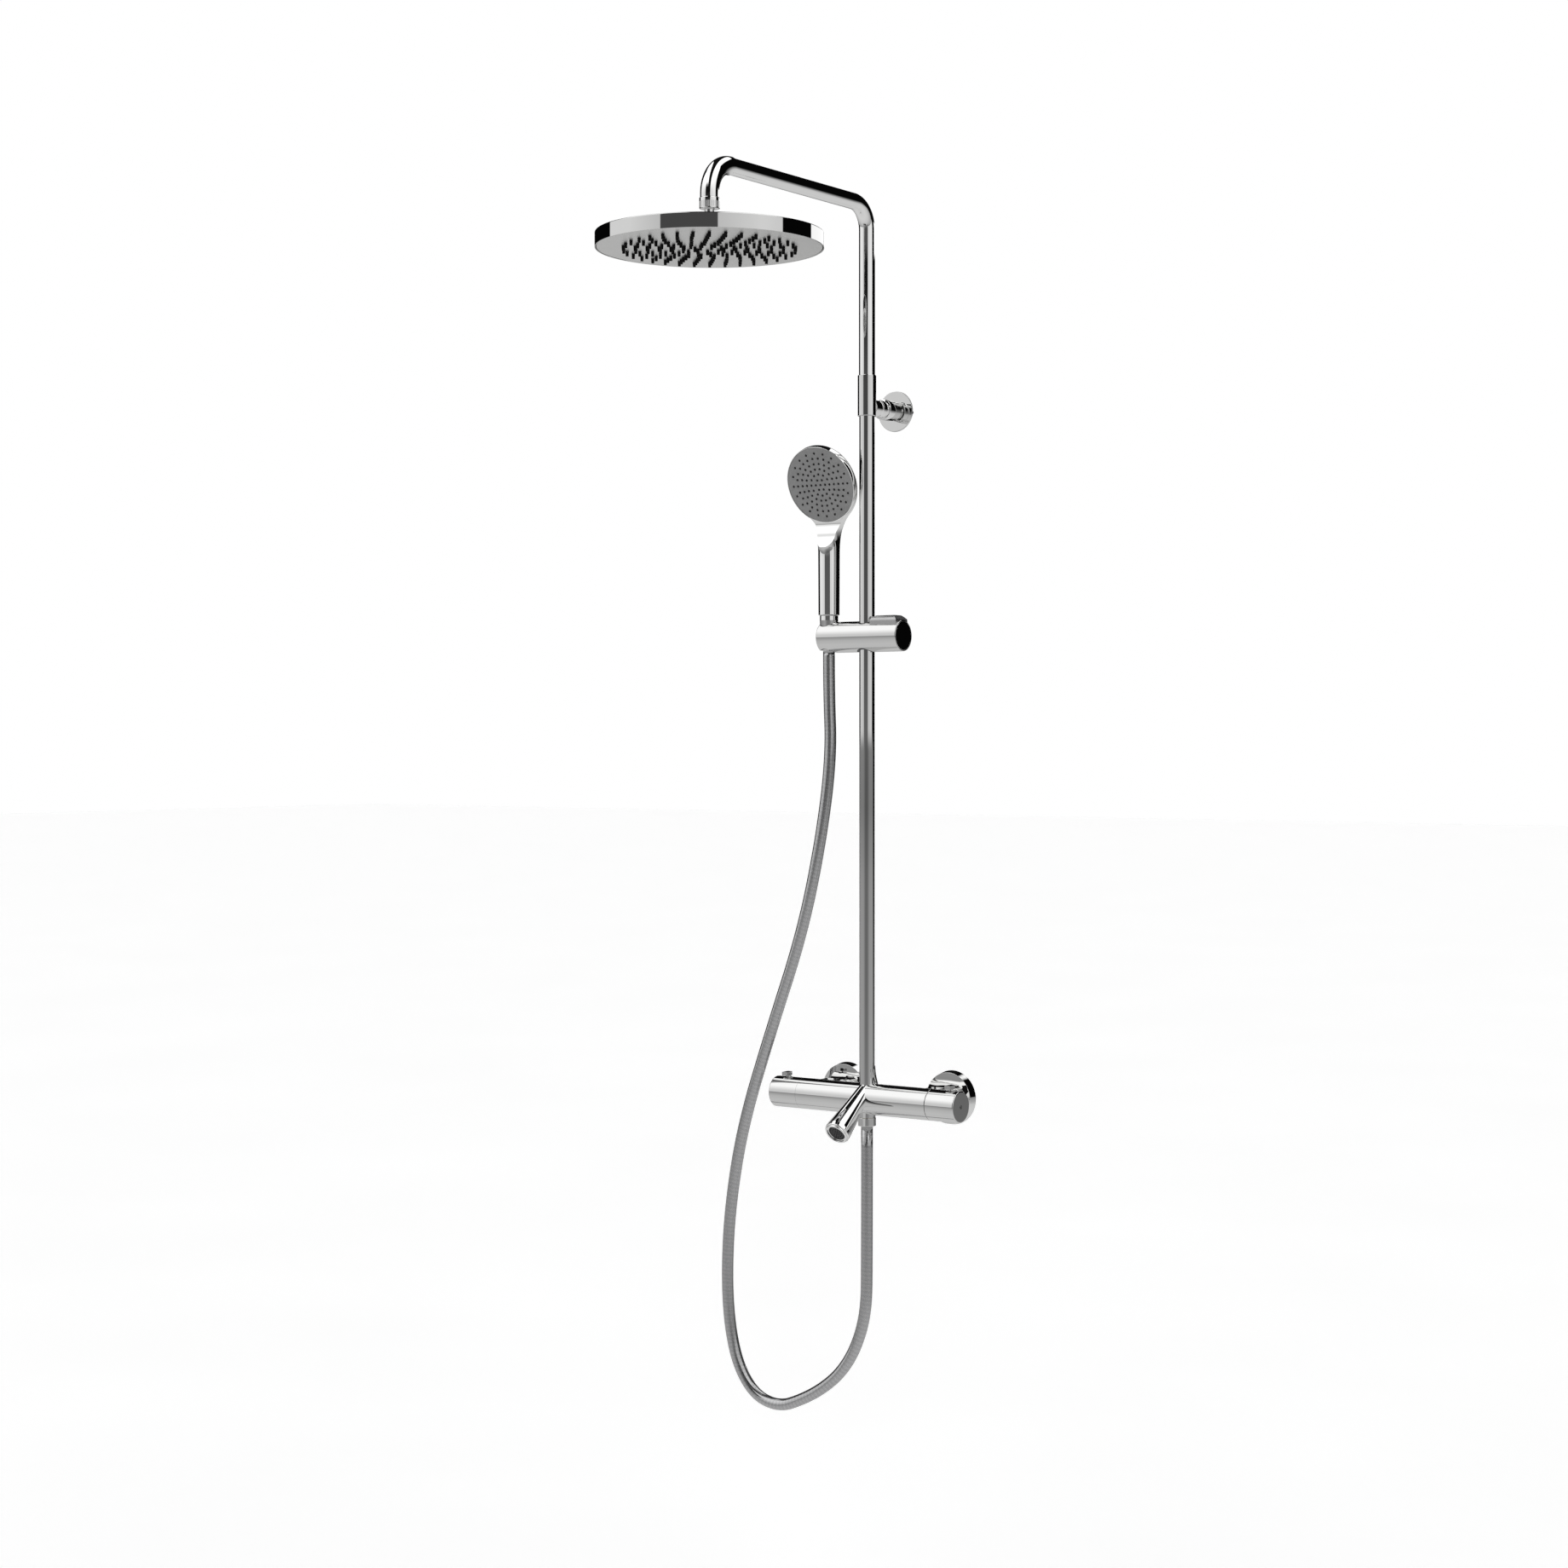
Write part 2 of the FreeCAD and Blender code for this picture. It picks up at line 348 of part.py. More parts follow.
slot = box(-75, SEAT_Y - 7.5, Z - 25, SEAT_X, SEAT_Y + 7.5, Z + 25)
slider = slider.cut(seat_cone(0.9)).cut(slot)
slider = slider.cut(cz(0, AX_Y, Z - 25, Z + 25, 11.65))
slider = slider.cut(cx(SLIDER_X1 - 1.8, SLIDER_X1 + 1, AX_Y, Z, 17.05))
slider = slider.cut(box(12.0, AX_Y - 12.8, Z + 8.5, 49.0, AX_Y + 12.8, Z + 30))
slider = slider.cut(cz(30.0, AX_Y, Z - 3.0, Z + 9, 4.2)).cut(cx(11, 50, AX_Y, Z - 9.5, 5.0))
save("slider_body", slider)
inside = cx(SLIDER_X0 + 0.3, SLIDER_X1, AX_Y, Z, SLIDER_R - 0.3)
liner = seat_cone(0.8).cut(seat_cone(0.0)).cut(box(-75, SEAT_Y - 7.4, Z - 25, SEAT_X, SEAT_Y + 7.4, Z + 25)).common(inside)
save("handset_seat_liner", liner)
save("slider_bush", rev_z([(RISER_R + 0.06, Z - 20), (11.6, Z - 20), (11.6, Z + 20), (RISER_R + 0.06, Z + 20)], 0, AX_Y).common(inside))
save("slider_end_cap", rev_x([(SLIDER_X1 - 1.75, 0.0), (SLIDER_X1 - 1.75, 17.0), (SLIDER_X1, 17.0, 0.4), (SLIDER_X1, 0.0)], AX_Y, Z))
prof = rounded([(-12.5, 11.0, 0.4), (12.5, 11.0, 0.4), (12.5, 20.5, 5.5), (7.0, 24.3, 5.0), (-7.0, 24.3, 5.0), (-12.5, 20.5, 5.5)])
a = Part.Face(prof).extrude(V(0, 60, 0))
a.Placement = FreeCAD.Placement(V(0, AX_Y, Z), FreeCAD.Rotation(V(0, 0, 1), -90))
side = rounded([(12.3, 10.0, 0.1), (48.7, 10.0, 0.1), (48.7, 19.2, 1.5), (43.8, 24.3, 3.0), (17.0, 24.3, 3.0), (12.3, 19.5, 1.5)])
b = Part.Face(side).extrude(V(0, 40, 0))
b.translate(V(0, AX_Y - 20, Z))
save("release_button", a.common(b))
save("release_spring", rev_z([(2.6, Z - 2.9), (3.6, Z - 2.9), (3.6, Z + 10.9), (2.6, Z + 10.9)], 30.0, AX_Y))

# ---- hand shower --------------------------------------------------------------------------------
t = math.radians(HANDSET_TILT)
BACK = V(0, math.cos(t), math.sin(t))
puck = along([(0.0, -0.6), (45.9, -0.6, 0.3), (FACE_R, 0.6, 0.8), (FACE_R, 8.0, 5.0), (42.5, 11.6, 8.0), (20.0, 13.0, 20.0), (0.0, 13.2)], FACE_C, BACK)
secs = []
for z, rx, ry, oy in ((644.0, 12.9, 12.85, 0), (660.0, 14.0, 12.6, 0), (675.0, 22.0, 11.2, 0.6), (697.0, 36.5, 7.5, -0.6)):
    e = Part.Ellipse(V(SEAT_X, SEAT_Y + oy, z), max(rx, ry), min(rx, ry))
    secs.append(Part.Wire([e.toShape()]))
neck = Part.makeLoft(secs, True, False)
face_low = FACE_C - V(0, -math.sin(t), math.cos(t)) * FACE_R
wedge = Part.Face(Part.makePolygon([V(-75 - 60, face_low.y - 13.2, 651.0), V(-75 - 60, face_low.y - 0.4, face_low.z - 0.6), V(-75 - 60, face_low.y - 0.4 - 60 * math.sin(t), face_low.z - 0.6 + 60 * math.cos(t)),
                                    V(-75 - 60, face_low.y - 90, 740), V(-75 - 60, face_low.y - 90, 651.0), V(-75 - 60, face_low.y - 13.2, 651.0)])).extrude(V(160, 0, 0))
neck = neck.cut(wedge)
grip = rev_z([(0.0, 572.0), (12.4, 572.0, 0.6), (12.9, 655.0), (0.0, 655.0)], SEAT_X, SEAT_Y)
hs = grip.fuse(neck).fuse(puck)
cav = along([(0.0, -3.0), (46.0, -3.0), (46.0, 2.75), (44.3, 2.75), (44.3, 7.0, 2.0), (41.0, 9.8, 4.0), (0.0, 10.8)], FACE_C, BACK)
hs = hs.cut(cav).cut(cz(SEAT_X, SEAT_Y, 571.0, 652.0, 10.6)).cut(cz(SEAT_X, AX_Y + 3.0, 640.0, 689.0, 4.0))
save("hand_shower_shell", hs)
HRINGS = [(0, 1), (6.6, 6), (13.0, 12), (19.4, 18), (25.8, 22), (32.4, 26), (38.6, 20)]
rotb = FreeCAD.Rotation(V(0, 0, 1), BACK)
spots = []
for r, n in HRINGS:
    for j in range(n):
        a = 2 * math.pi * j / n
        spots.append(rotb.multVec(V(r * math.cos(a), r * math.sin(a), 0)))
fp = along([(0.0, 0.0), (45.85, 0.0, 0.5), (45.85, 1.4), (0.0, 1.4)], FACE_C, BACK)
fp = fp.cut(Part.makeCompound([Part.makeCylinder(1.45, 6, FACE_C + q - BACK * 3, BACK) for q in spots]))
save("hand_shower_face", fp)
nz = along([(0.0, 1.45), (44.0, 1.45), (44.0, 2.6), (0.0, 2.6)], FACE_C, BACK)
save("hand_shower_nozzles", nz.fuse([Part.makeCone(1.25, 0.8, 2.9, FACE_C + q + BACK * 1.8, BACK * -1) for q in spots]))
way = rev_z([(4.6, 560.3), (8.2, 560.3, 0.4), (8.2, 571.8), (10.5, 571.8), (10.5, 576.0), (4.6, 576.0)], SEAT_X, SEAT_Y)
way = way.fuse(cz(SEAT_X, SEAT_Y, 574.0, 577.0, 10.4)).fuse(cz(SEAT_X, AX_Y + 3.0, 575.0, 688.0, 3.6))
way = way.cut(cz(SEAT_X, AX_Y + 3.0, 573.0, 700.0, 2.6)).cut(cz(SEAT_X, SEAT_Y, 555.0, 575.0, 3.4))
save("hand_shower_waterway", way)
save("hose_cone_nut", rev_z([(5.6, 530.0), (9.15, 530.0, 0.8), (10.75, 563.0), (10.9, 566.0), (10.9, 571.6, 0.4), (8.25, 571.6), (8.25, 557.0), (5.6, 557.0)], SEAT_X, SEAT_Y))
save("handset_washer", rev_z([(5.0, 557.1), (8.2, 557.1), (8.2, 560.2), (5.0, 560.2)], SEAT_X, SEAT_Y))

# ---- hose --------------------------------------------------------------------------------------------
runs = [(HOSE[k + 1] - HOSE[k]).Length for k in range(len(HOSE) - 1)]
edges, here, total, radii = [], HOSE[0], 0.0, []
for k in range(1, len(HOSE) - 1):
    u = (HOSE[k - 1] - HOSE[k]).normalize()
    w = (HOSE[k + 1] - HOSE[k]).normalize()
    turn = math.pi - u.getAngle(w)
    d = 0.45 * min(runs[k - 1], runs[k])
    r = d / math.tan(turn / 2)
    c = HOSE[k] + (u + w).normalize() * math.hypot(r, d)
    s, e = HOSE[k] + u * d, HOSE[k] + w * d
    m = c + (HOSE[k] - c).normalize() * r
    edges += [Part.LineSegment(here, s).toShape(), Part.Arc(s, m, e).toShape()]
    total += (s - here).Length + r * turn
    radii.append(round(r, 1))
    here = e
edges.append(Part.LineSegment(here, HOSE[-1]).toShape())
total += (HOSE[-1] - here).Length
hose = pipe(edges, HOSE_R, HOSE[0], HOSE[1] - HOSE[0])
save("shower_hose", hose)
print("hose length %.1f mm, runs %s, radii %s" % (total, [round(q) for q in runs], radii))
print("hose volume / (section x length) %.5f" % (hose.Volume / (math.pi * HOSE_R ** 2 * total)))
print("nodes", len(parts))
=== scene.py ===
import json
import math
import bpy
import bmesh
import numpy as np
from mathutils import Matrix, Vector


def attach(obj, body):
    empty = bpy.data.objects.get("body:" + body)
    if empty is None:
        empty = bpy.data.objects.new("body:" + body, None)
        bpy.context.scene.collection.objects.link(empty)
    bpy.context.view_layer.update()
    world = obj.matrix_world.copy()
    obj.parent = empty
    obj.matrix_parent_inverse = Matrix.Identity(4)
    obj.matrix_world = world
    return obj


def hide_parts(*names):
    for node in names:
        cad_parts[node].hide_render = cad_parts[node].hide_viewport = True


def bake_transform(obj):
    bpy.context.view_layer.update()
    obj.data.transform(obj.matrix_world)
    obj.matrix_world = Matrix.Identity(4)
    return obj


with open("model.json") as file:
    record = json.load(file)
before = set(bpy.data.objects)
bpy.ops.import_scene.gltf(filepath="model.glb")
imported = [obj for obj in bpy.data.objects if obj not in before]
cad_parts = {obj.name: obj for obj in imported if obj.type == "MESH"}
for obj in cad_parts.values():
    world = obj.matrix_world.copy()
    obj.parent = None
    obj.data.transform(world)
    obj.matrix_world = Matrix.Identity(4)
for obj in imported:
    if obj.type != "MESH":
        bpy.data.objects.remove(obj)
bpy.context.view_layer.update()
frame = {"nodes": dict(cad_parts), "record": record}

scene = bpy.context.scene
nodes = frame["nodes"]
AX_Y = -0.071                                   # riser and mixer axis
A = math.radians(35.342)                        # viewing direction, right of straight on
SA, CA = math.sin(A), math.cos(A)

# ------------------------------------------------------------------ camera
cam = bpy.data.cameras.new("Camera")
cam.sensor_width = 36.0
cam.lens = 3236.05 / 1840 * 36.0
cam.shift_x = (920 - 935.74) / 1840
cam.shift_y = (868.65 - 920) / 1840
cam.clip_end = 100
camera = bpy.data.objects.new("Camera", cam)
scene.collection.objects.link(camera)
camera.location = (1.8162, -2.7741, 0.42335)
camera.rotation_euler = (math.radians(90), 0, A)
scene.camera = camera
scene.view_settings.view_transform = "Standard"
scene.view_settings.look = "None"

# ------------------------------------------------------------------ shader helpers


def new_material(name):
    m = bpy.data.materials.new(name)
    m.use_nodes = True
    nt = m.node_tree
    b = next(n for n in nt.nodes if n.type == "BSDF_PRINCIPLED")
    return m, nt, b


def math_node(nt, op, a, b=None, c=None, clamp=False):
    n = nt.nodes.new("ShaderNodeMath")
    n.operation = op
    n.use_clamp = clamp
    for i, v in enumerate((a, b, c)):
        if v is None:
            continue
        if isinstance(v, (int, float)):
            n.inputs[i].default_value = v
        else:
            nt.links.new(v, n.inputs[i])
    return n.outputs[0]


def smooth(nt, v, lo, hi, a=0.0, b=1.0):
    n = nt.nodes.new("ShaderNodeMapRange")
    n.interpolation_type = "SMOOTHSTEP"
    nt.links.new(v, n.inputs["Value"])
    n.inputs["From Min"].default_value = lo
    n.inputs["From Max"].default_value = hi
    n.inputs["To Min"].default_value = a
    n.inputs["To Max"].default_value = b
    return n.outputs["Result"]


def band(nt, v, lo, hi, soft):
    return math_node(nt, "MULTIPLY", smooth(nt, v, lo - soft, lo + soft), smooth(nt, v, hi - soft, hi + soft, 1.0, 0.0))


def lerp(nt, a, b, t):
    """a where t is 0, b where t is 1."""
    d = math_node(nt, "SUBTRACT", b, a)
    return math_node(nt, "MULTIPLY_ADD", d, t, a)


def curve(nt, v, pts, lo, hi):
    """Piecewise brightness by a colour ramp: pts are (position, value), v runs from lo to hi."""
    mr = nt.nodes.new("ShaderNodeMapRange")
    nt.links.new(v, mr.inputs["Value"])
    mr.inputs["From Min"].default_value = lo
    mr.inputs["From Max"].default_value = hi
    fc = nt.nodes.new("ShaderNodeFloatCurve")
    c = fc.mapping.curves[0]
    span = max(p[1] for p in pts)
    q = [((p - lo) / (hi - lo), y / span) for p, y in pts]
    c.points[0].location = q[0]
    c.points[1].location = q[-1]
    for p in q[1:-1]:
        c.points.new(*p)
    for p in c.points:
        p.handle_type = "VECTOR"
    fc.mapping.update()
    nt.links.new(mr.outputs["Result"], fc.inputs["Value"])
    return math_node(nt, "MULTIPLY", fc.outputs[0], span)


def noise(nt, scale, detail=2.0, rough=0.5, coords="Object", stretch=None):
    tc = nt.nodes.new("ShaderNodeTexCoord")
    out = tc.outputs[coords]
    if stretch:
        mp = nt.nodes.new("ShaderNodeMapping")
        mp.inputs["Scale"].default_value = stretch
        nt.links.new(out, mp.inputs["Vector"])
        out = mp.outputs["Vector"]
    n = nt.nodes.new("ShaderNodeTexNoise")
    n.inputs["Scale"].default_value = scale
    n.inputs["Detail"].default_value = detail
    n.inputs["Roughness"].default_value = rough
    nt.links.new(out, n.inputs["Vector"])
    return n.outputs["Fac"]


def rough_by(nt, bsdf, fac, lo, hi):
    nt.links.new(smooth(nt, fac, 0.3, 0.7, lo, hi), bsdf.inputs["Roughness"])


def colour_by(nt, bsdf, fac, a, b):
    r = nt.nodes.new("ShaderNodeValToRGB")
    r.color_ramp.elements[0].position = 0.3
    r.color_ramp.elements[1].position = 0.7
    r.color_ramp.elements[0].color = (*a, 1)
    r.color_ramp.elements[1].color = (*b, 1)
    nt.links.new(fac, r.inputs["Fac"])
    nt.links.new(r.outputs["Color"], bsdf.inputs["Base Color"])


def bump_by(nt, bsdf, height, strength, distance):
    b = nt.nodes.new("ShaderNodeBump")
    b.inputs["Strength"].default_value = strength
    b.inputs["Distance"].default_value = distance
    nt.links.new(height, b.inputs["Height"])
    nt.links.new(b.outputs["Normal"], bsdf.inputs["Normal"])


# ------------------------------------------------------------------ studio: panels of light around the object
world = bpy.data.worlds.new("Studio")
scene.world = world
world.use_nodes = True
wt = world.node_tree
wt.nodes.clear()
tc = wt.nodes.new("ShaderNodeTexCoord")
sep = wt.nodes.new("ShaderNodeSeparateXYZ")
wt.links.new(tc.outputs["Generated"], sep.inputs[0])
X, Y, Z = sep.outputs
f = math_node(wt, "SUBTRACT", math_node(wt, "MULTIPLY", X, SA), math_node(wt, "MULTIPLY", Y, CA))
g = math_node(wt, "ADD", math_node(wt, "MULTIPLY", X, CA), math_node(wt, "MULTIPLY", Y, SA))
az = math_node(wt, "MULTIPLY", math_node(wt, "ARCTAN2", g, f), 57.29578)
el = math_node(wt, "MULTIPLY", math_node(wt, "ARCSINE", Z), 57.29578)
# side panels, brighter towards the ceiling
light = curve(wt, el, [(0, 0.76), (6, 0.84), (11, 0.83), (18, 0.93), (28, 1.08), (38, 1.27), (90, 1.28)], 0, 90)
dip = curve(wt, az, [(-180, 1.0), (-85, 1.0), (-48, 0.80), (10, 0.80), (55, 1.0), (82, 0.93), (180, 0.93)], -180, 180)
dip = lerp(wt, dip, 1.0, smooth(wt, el, 14, 34))
sky = math_node(wt, "MULTIPLY", light, dip)
# dark panel on the camera's side
front = curve(wt, el, [(0, 0.16), (2, 0.10), (5, 0.075), (7.5, 0.07), (9.3, 0.006), (9.85, 0.006), (9.9, 0.075), (11.0, 0.075), (11.1, 0.006), (24, 0.01), (30, 0.3), (38, 1.2), (90, 1.28)], 0, 90)
sky = lerp(wt, sky, front, band(wt, az, -48.0, 10.0, 0.6))
# black panels behind the object, with a low white strip
back = math_node(wt, "MAXIMUM", smooth(wt, az, 79.0, 80.2), smooth(wt, az, -116.6, -115.4, 1.0, 0.0))
black = curve(wt, el, [(0, 0.002), (45, 0.002), (47.5, 1.1), (60, 1.2), (90, 1.28)], 0, 90)
strip = math_node(wt, "MULTIPLY", band(wt, el, 9.95, 12.5, 0.1), smooth(wt, az, 124.0, 125.0))
black = lerp(wt, black, 1.22, strip)
sky = lerp(wt, sky, black, back)
# black gap between the two ceiling panels, running overhead from front to back
gap = math_node(wt, "MULTIPLY", band(wt, g, -0.27, 0.18, 0.012), smooth(wt, el, 11.4, 12.2))
sky = lerp(wt, sky, 0.006, gap)
# floor seen in the metal
floor_v = curve(wt, el, [(-90, 0.56), (-75, 0.62), (-45, 0.65), (-22, 0.57), (-9, 0.44), (-3, 0.36), (-1.4, 0.25), (0, 0.27)], -90, 0)
shade = lerp(wt, 1.0, 0.45, math_node(wt, "MULTIPLY", band(wt, az, -40.0, 20.0, 22.0), smooth(wt, el, -14, -5)))
floor_v = math_node(wt, "MULTIPLY", floor_v, shade)
far = curve(wt, el, [(-90, 0.56), (-45, 0.62), (-30, 0.60), (-20, 0.56), (-15, 0.40), (-11, 0.23), (-7, 0.16), (-5, 0.08), (-2, 0.013), (0, 0.003)], -90, 0)
floor_v = lerp(wt, floor_v, far, smooth(wt, az, 92, 100))
value = lerp(wt, floor_v, sky, smooth(wt, el, -0.25, 0.25))
bg_glossy = wt.nodes.new("ShaderNodeBackground")
wt.links.new(value, bg_glossy.inputs["Color"])
bg_camera = wt.nodes.new("ShaderNodeBackground")
bg_camera.inputs["Color"].default_value = (1, 1, 1, 1)
lp = wt.nodes.new("ShaderNodeLightPath")
mix = wt.nodes.new("ShaderNodeMixShader")
wt.links.new(lp.outputs["Is Camera Ray"], mix.inputs[0])
wt.links.new(bg_glossy.outputs[0], mix.inputs[1])
wt.links.new(bg_camera.outputs[0], mix.inputs[2])
wo = wt.nodes.new("ShaderNodeOutputWorld")
wt.links.new(mix.outputs[0], wo.inputs["Surface"])

# plain pale floor, well below the loop of the hose
bpy.ops.mesh.primitive_plane_add(size=60, location=(0, 0, -0.62))
floor = bpy.context.object
floor.name = "floor"
m, nt, b = new_material("floor_white")
b.inputs["Roughness"].default_value = 0.9
b.inputs["Emission Color"].default_value = (1, 1, 1, 1)
b.inputs["Emission Strength"].default_value = 0.45
colour_by(nt, b, noise(nt, 1.5), (0.93, 0.93, 0.93), (0.96, 0.96, 0.96))
floor.data.materials.append(m)
floor.visible_glossy = False

# ------------------------------------------------------------------ materials


def chrome(name, base, rough=(0.012, 0.02), wave=0.0):
    m, nt, b = new_material(name)
    b.inputs["Metallic"].default_value = 1.0
    n = noise(nt, 55.0, 3.0)
    colour_by(nt, b, n, tuple(c * 0.985 for c in base), base)
    rough_by(nt, b, noise(nt, 30.0, 2.0), *rough)
    if wave:
        bump_by(nt, b, noise(nt, 38.0, 1.0), wave, 0.0004)
    return m


def plastic(name, a, b_, rough=(0.4, 0.5), grain=900.0, depth=0.00004, spec=0.5):
    m, nt, b = new_material(name)
    b.inputs["Specular IOR Level"].default_value = spec
    colour_by(nt, b, noise(nt, 60.0, 3.0), a, b_)
    rough_by(nt, b, noise(nt, 200.0, 3.0), *rough)
    bump_by(nt, b, noise(nt, grain, 3.0), 0.25, depth)
    return m


CHROME = chrome("chrome_polished", (0.745, 0.745, 0.74))
# same chrome with a brighter base: painted brighter reflection on the parts in BRIGHT and on the hand shower skin
CHROME_BRIGHT = chrome("chrome_painted_brighter", (0.95, 0.95, 0.945), (0.008, 0.014))
BUTTON_GREY = chrome("button_satin", (0.50, 0.50, 0.50), (0.30, 0.36))
SATIN = chrome("satin_steel", (0.93, 0.93, 0.92), (0.38, 0.46))
STEEL = chrome("stainless_steel", (0.55, 0.55, 0.55), (0.2, 0.3))
BRASS = chrome("brass_turned", (0.78, 0.66, 0.42), (0.2, 0.3))
NOZZLE = plastic("nozzle_rubber_black", (0.003, 0.003, 0.003), (0.006, 0.006, 0.006), (0.6, 0.7), 600.0, 0.00004, 0.08)
RUBBER = plastic("rubber_black", (0.012, 0.012, 0.012), (0.02, 0.02, 0.02), (0.5, 0.62), 600.0)
NYLON = plastic("nylon_black", (0.02, 0.02, 0.021), (0.03, 0.03, 0.031), (0.35, 0.45))
CARTRIDGE = plastic("cartridge_grey", (0.5, 0.5, 0.48), (0.56, 0.56, 0.54), (0.35, 0.45))
GREY_FACE = plastic("spray_face_grey", (0.21, 0.21, 0.21), (0.24, 0.24, 0.24), (0.35, 0.45))

BY_SLOT = {"chrome": CHROME, "satin_face": SATIN, "head_nozzle_rubber": NOZZLE, "hand_nozzle_rubber": RUBBER, "grey_face": GREY_FACE,
           "hose_silver": STEEL, "rubber_black": RUBBER, "nylon": NYLON, "cartridge_plastic": CARTRIDGE, "brass_plated": BRASS, "steel": STEEL}
# parts that take the brighter chrome copy, a painted brighter reflection
BRIGHT = {"overhead_pipe", "arm_elbow", "arm_nut", "bracket_stem", "wall_rosette_left", "wall_rosette_right", "bath_spout", "aerator_ring", "hand_shower_shell", "hose_cone_nut"}
for sp in frame["record"]["subparts"]:
    o = nodes[sp["node"]]
    o.data.materials.clear()
    o.data.materials.append(BUTTON_GREY if sp["node"] == "release_button" else CHROME_BRIGHT if sp["node"] in BRIGHT else BY_SLOT[sp["material_slot"]])

# ------------------------------------------------------------------ hand shower skin: one flowing teardrop from rim to handle
HX, HY, HZ = -53.5, AX_Y * 1000 - 1.5, 726.0     # handle axis; height of the spray face's centre
TILT = math.radians(20.4)
RT = math.cos(TILT)


def hermite(z, z0, a, sa, z1, b, sb):
    q = (z - z0) / (z1 - z0)
    h = z1 - z0
    return (1 + 2 * q) * (1 - q) ** 2 * a + q * (1 - q) ** 2 * h * sa + q * q * (3 - 2 * q) * b + q * q * (q - 1) * h * sb


def step(z, lo, hi):
    q = min(1.0, max(0.0, (z - lo) / (hi - lo)))
    return q * q * (3 - 2 * q)


def skin_section(z):
    """half width, widest depth, front bulge, back bulge, front cut of the shell at height z (mm, from the handle axis)"""
    face = -17.9 + math.tan(TILT) * (HZ - z)
    w = (z - HZ) / RT
    disc = math.sqrt(max(0.0, 45.9 ** 2 - w * w))
    za = HZ - 35.0 * RT
    wa = math.sqrt(45.9 ** 2 - 35.0 ** 2)
    if z < 572.6:
        half = 11.9 + 0.6 * math.sqrt(max(0.0, 1 - ((572.6 - z) / 0.6) ** 2))
    elif z < 652.0:
        half = 12.5 + 0.4 * (z - 572.6) / 79.4
    elif z < za:
        half = hermite(z, 652.0, 12.9, 0.005, za, wa, 35.0 / wa / RT)
    else:
        half = disc
    k = step(z, 648.0, 700.0)
    mid = k * (face + 8.0)
    hump = 12.9 - 0.0040 * max(0.0, z - 655.0) ** 2
    crown = face + 8.2 + 5.0 * math.sqrt(max(0.0, 1 - (w / 45.9) ** 2)) if z > 680 else -60.0
    d = hump - crown
    back = hump if d > 6 else crown if d < -6 else max(hump, crown) + (6 - abs(d)) ** 2 / 24
    back = half if z < 652.0 else back
    front = (half if z < 652.0 else half * (1 - k) + 60.0 * k)
    zl = HZ - 46.6 * RT
    lip = -17.9 + math.tan(TILT) * (HZ - zl) - 0.6
    if z < 652.8:
        cut = -60.0
    elif z < 667.5:
        cut = hermite(z, 652.8, -12.95, 0.62, 667.5, -5.6, 0.0)
    elif z < zl:
        cut = hermite(z, 667.5, -5.6, 0.0, zl, lip, math.tan(-TILT))
    else:
        cut = face - 0.6 + 1.7 * step(z, za - 9.0, za + 3.0)
    return half, mid, front, back - mid, cut, face, w


